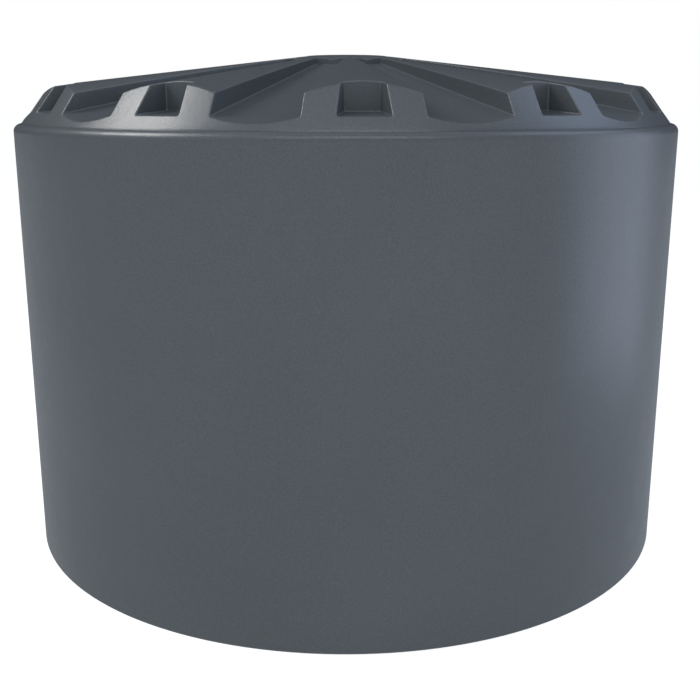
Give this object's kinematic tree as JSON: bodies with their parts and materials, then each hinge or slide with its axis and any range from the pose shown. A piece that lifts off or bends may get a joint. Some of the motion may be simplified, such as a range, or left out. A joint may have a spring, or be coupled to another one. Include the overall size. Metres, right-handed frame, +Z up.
{
  "type": "water storage tank",
  "caption": "Round ribbed-roof polyethylene tank that stores drinking water for livestock, with an inlet strainer, an overflow and an outlet ball valve.",
  "frame": {"origin": "centre of the underside of the tank, on its vertical axis", "axes": "+Z up along the tank axis; +Y towards the overflow and the outlet valve; a roof rib points along -Y"},
  "size_m": [3.6, 3.852, 2.651],
  "materials": {
    "tank": "satin, fine orange-peel grain",
    "black_plastic": "matte moulded",
    "stainless": "brushed",
    "rubber": "matte",
    "brass": "satin, cast",
    "chromed": "polished",
    "seat_white": "smooth",
    "zinc_steel": "zinc plated",
    "grip_blue": "dipped vinyl"
  },
  "bodies": {
    "tank": {"basket_floor": "black_plastic", "flap_hinge_pin": "stainless", "hose_tail": "brass", "inlet_basket": "black_plastic", "inlet_gasket": "rubber", "inlet_mesh": "stainless", "inlet_ring": "black_plastic", "inlet_screw_1": "stainless", "inlet_screw_2": "stainless", "inlet_screw_3": "stainless", "inlet_screw_4": "stainless", "inlet_screw_5": "stainless", "inlet_screw_6": "stainless", "lid_hinge_pin": "stainless", "outlet_body": "black_plastic", "outlet_gasket": "rubber", "outlet_inner_gasket": "rubber", "outlet_nut": "black_plastic", "overflow_body": "black_plastic", "overflow_gasket": "rubber", "overflow_inner_gasket": "rubber", "overflow_nut": "black_plastic", "overflow_screen": "stainless", "roof_hub": "tank", "roof_segment_1": "tank", "roof_segment_10": "tank", "roof_segment_11": "tank", "roof_segment_12": "tank", "roof_segment_2": "tank", "roof_segment_3": "tank", "roof_segment_4": "tank", "roof_segment_5": "tank", "roof_segment_6": "tank", "roof_segment_7": "tank", "roof_segment_8": "tank", "roof_segment_9": "tank", "tail_nut": "brass", "tail_washer": "rubber", "tank_floor": "tank", "tank_wall": "tank", "valve_body": "brass", "valve_end": "brass", "valve_gland": "brass", "valve_seat_in": "seat_white", "valve_seat_out": "seat_white"},
    "lid": {"inlet_lid": "black_plastic"},
    "latch": {"latch_knob": "stainless", "latch_cam": "stainless", "latch_nut": "stainless"},
    "flap": {"overflow_flap": "black_plastic"},
    "valve": {"valve_ball": "chromed", "valve_stem": "brass", "valve_lever": "zinc_steel", "lever_nut": "zinc_steel", "valve_grip": "grip_blue"}
  },
  "joints": [
    {"name": "lid_hinge", "type": "hinge", "parent": "tank", "child": "lid", "pos_m": [0, 0.1925, 2.645], "axis": [-1, 0, 0], "range_deg": [0, 110]},
    {"name": "latch_turn", "type": "hinge", "parent": "lid", "child": "latch", "pos_m": [0, -0.156, 2.63], "axis": [0, 0, -1], "range_deg": [0, 90]},
    {"name": "overflow_flap_hinge", "type": "hinge", "parent": "tank", "child": "flap", "pos_m": [0, 1.8705, 2.186], "axis": [1, 0, 0], "range_deg": [0, 80]},
    {"name": "valve_turn", "type": "hinge", "parent": "tank", "child": "valve", "pos_m": [0, 1.892, 0.2], "axis": [0, 0, 1], "range_deg": [0, 90]}
  ]
}
